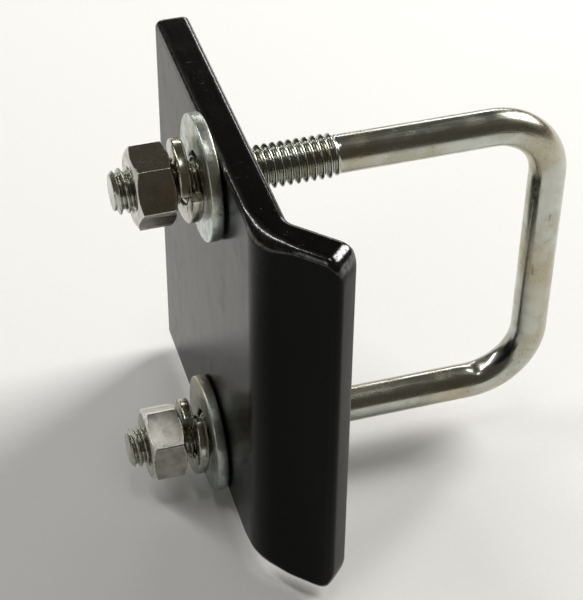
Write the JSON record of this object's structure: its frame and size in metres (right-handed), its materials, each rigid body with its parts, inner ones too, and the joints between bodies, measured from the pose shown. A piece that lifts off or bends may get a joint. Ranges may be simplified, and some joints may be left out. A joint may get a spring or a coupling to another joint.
{
  "type": "u-bolt clamp",
  "caption": "Square-bend U-bolt with threaded legs through a bent clamp plate, held by hex nuts on split lock and flat washers.",
  "frame": {"origin": "middle of the clamp plate's inner face, half way between the two legs", "axes": "+X along the legs from the nuts to the crossbar, +Z from the lower leg to the upper leg, flange on the -Y side"},
  "size_m": [0.0833, 0.077, 0.0826],
  "materials": {
    "zinc_rod": "bright zinc plate",
    "black_paint": "gloss",
    "zinc_washer": "zinc plate, tumbled rims",
    "zinc_lock_washer": "zinc plate",
    "zinc_nut": "zinc plate, faint scuffs"
  },
  "bodies": {
    "u_bolt": {"u_bolt": "zinc_rod"},
    "clamp_plate": {"clamp_plate": "black_paint"},
    "upper_flat_washer": {"upper_flat_washer": "zinc_washer"},
    "upper_lock_washer": {"upper_lock_washer": "zinc_lock_washer"},
    "upper_nut": {"upper_hex_nut": "zinc_nut"},
    "lower_flat_washer": {"lower_flat_washer": "zinc_washer"},
    "lower_lock_washer": {"lower_lock_washer": "zinc_lock_washer"},
    "lower_nut": {"lower_hex_nut": "zinc_nut"}
  },
  "joints": [
    {"name": "clamp_travel", "type": "slide", "parent": "u_bolt", "child": "clamp_plate", "axis": [1, 0, 0], "range_m": [0, 0.02822]},
    {"name": "upper_stack_turn", "type": "hinge", "parent": "clamp_plate", "child": "upper_flat_washer", "pos_m": [0, 0, 0.03015], "axis": [1, 0, 0], "range_deg": [0, 7200]},
    {"name": "lower_stack_turn", "type": "hinge", "parent": "clamp_plate", "child": "lower_flat_washer", "pos_m": [0, 0, -0.03015], "axis": [1, 0, 0], "range_deg": [0, 7200]},
    {"name": "upper_nut_travel", "type": "slide", "parent": "upper_flat_washer", "child": "upper_lock_washer", "axis": [1, 0, 0], "range_m": [-0.00847, 0]},
    {"name": "upper_nut_turn", "type": "hinge", "parent": "upper_lock_washer", "child": "upper_nut", "pos_m": [0, 0, 0.03015], "axis": [1, 0, 0], "range_deg": [-2160, 0]},
    {"name": "lower_nut_travel", "type": "slide", "parent": "lower_flat_washer", "child": "lower_lock_washer", "axis": [1, 0, 0], "range_m": [-0.00847, 0]},
    {"name": "lower_nut_turn", "type": "hinge", "parent": "lower_lock_washer", "child": "lower_nut", "pos_m": [0, 0, -0.03015], "axis": [1, 0, 0], "range_deg": [-2160, 0]}
  ],
  "couplings": [
    {"joint": "upper_stack_turn", "follows": "clamp_travel", "rad_per_m": 4452.7},
    {"joint": "lower_stack_turn", "follows": "clamp_travel", "rad_per_m": 4452.7},
    {"joint": "upper_nut_turn", "follows": "upper_nut_travel", "rad_per_m": 4452.7},
    {"joint": "lower_nut_turn", "follows": "lower_nut_travel", "rad_per_m": 4452.7}
  ]
}
